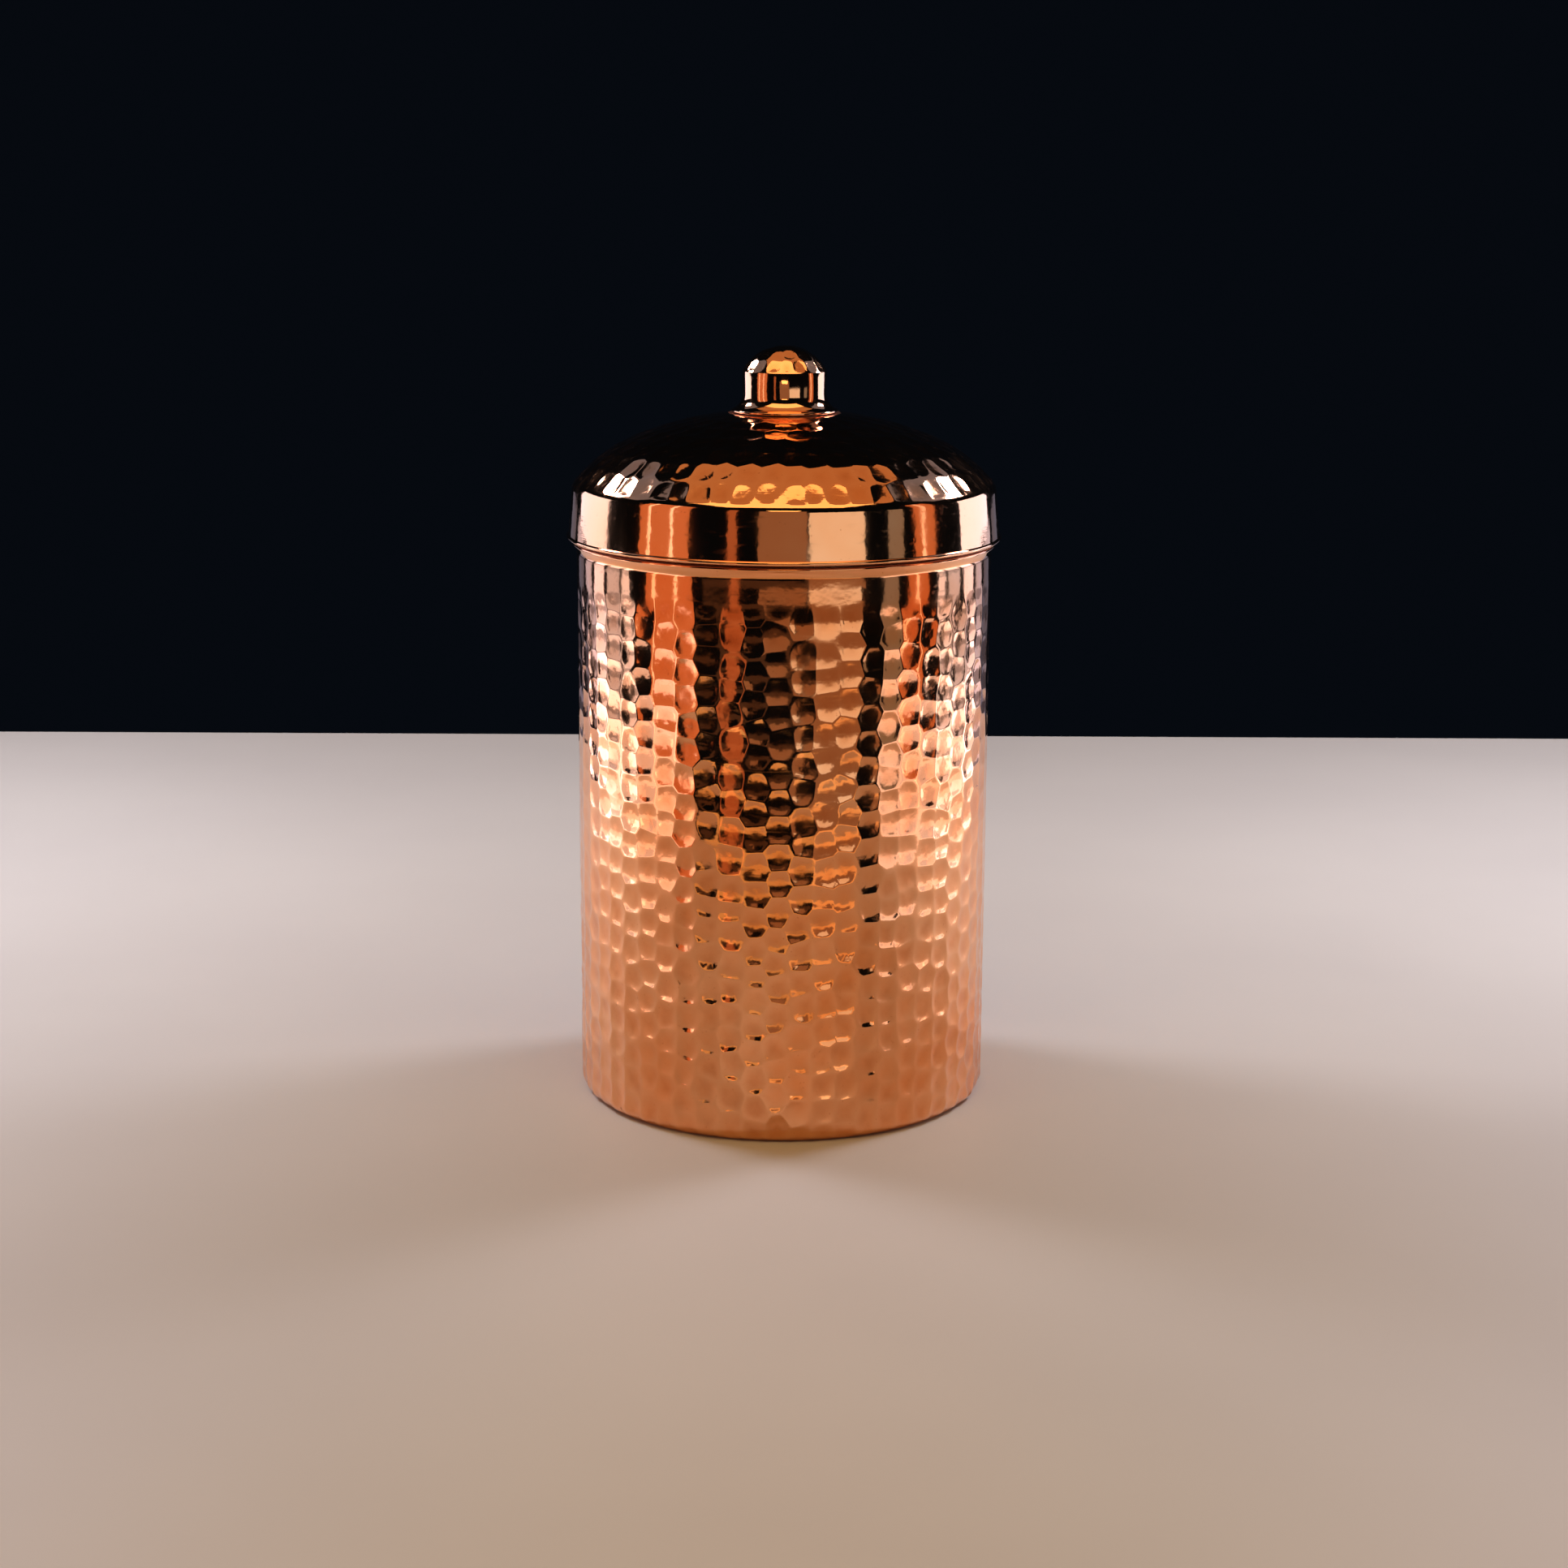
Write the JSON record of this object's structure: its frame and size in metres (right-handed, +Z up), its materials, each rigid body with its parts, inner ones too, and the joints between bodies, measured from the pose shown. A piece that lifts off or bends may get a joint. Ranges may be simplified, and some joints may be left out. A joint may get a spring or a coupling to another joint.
{
  "type": "copper water vessel",
  "caption": "Straight-sided hammered copper water vessel with a flared mouth and a lift-off domed lid topped by a small knob.",
  "frame": {"origin": "centre of the ring that the vessel stands on, on the surface it stands on", "axes": "+Z up along the axis of the vessel, the lid and the knob; the vessel is the same all round, so X and Y are any two level directions"},
  "size_m": [0.1048, 0.1048, 0.1827],
  "materials": {
    "hammered_copper": "polished copper with planishing hammer marks",
    "lid_copper": "polished copper, hammered dome and plain band",
    "plain_copper": "plain spun copper, satin",
    "knob_copper": "bright polished copper",
    "brass": "turned brass",
    "silicone": "translucent white food-grade silicone, matt",
    "steel": "stainless steel"
  },
  "bodies": {
    "vessel": {"vessel_shell": "hammered_copper"},
    "lid": {"lid_shell": "lid_copper", "lid_collar": "plain_copper", "lid_seal_ring": "silicone", "knob_shell": "knob_copper", "knob_core": "brass", "knob_seal_washer": "silicone", "knob_washer": "brass", "knob_screw": "steel"}
  },
  "joints": [
    {"name": "lid_lift", "type": "slide", "parent": "vessel", "child": "lid", "axis": [0, 0, 1], "range_m": [0, 0.06]}
  ]
}
